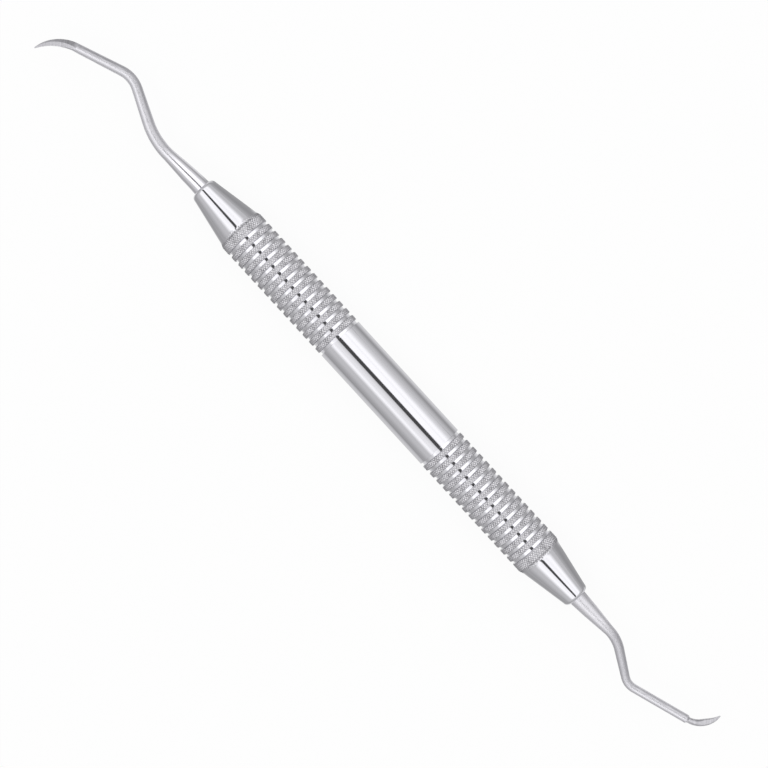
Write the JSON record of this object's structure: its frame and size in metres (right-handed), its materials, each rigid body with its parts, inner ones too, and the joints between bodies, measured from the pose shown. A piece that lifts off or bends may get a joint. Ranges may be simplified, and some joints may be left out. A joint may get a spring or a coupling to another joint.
{
  "type": "dental scaler",
  "caption": "Double-ended sickle scaler: hollow turned steel handle with knurled grips and a smooth waist, bent tapered shanks and short curved blades.",
  "frame": {"origin": "middle of the handle, on its axis", "axes": "+X along the handle's axis towards the end with the shorter, tighter blade, +Y in the plane of the bends, +Z square to that plane and up when the instrument lies on a table"},
  "size_m": [0.1784, 0.0107, 0.0094],
  "materials": {
    "handle_steel": "polished stainless steel, bright in the rings, satin on the knurled lands",
    "working_end_steel": "polished stainless steel, finely ground on the blades' faces"
  },
  "bodies": {
    "root": {"handle": "handle_steel", "left_working_end": "working_end_steel", "right_working_end": "working_end_steel"}
  },
  "joints": []
}
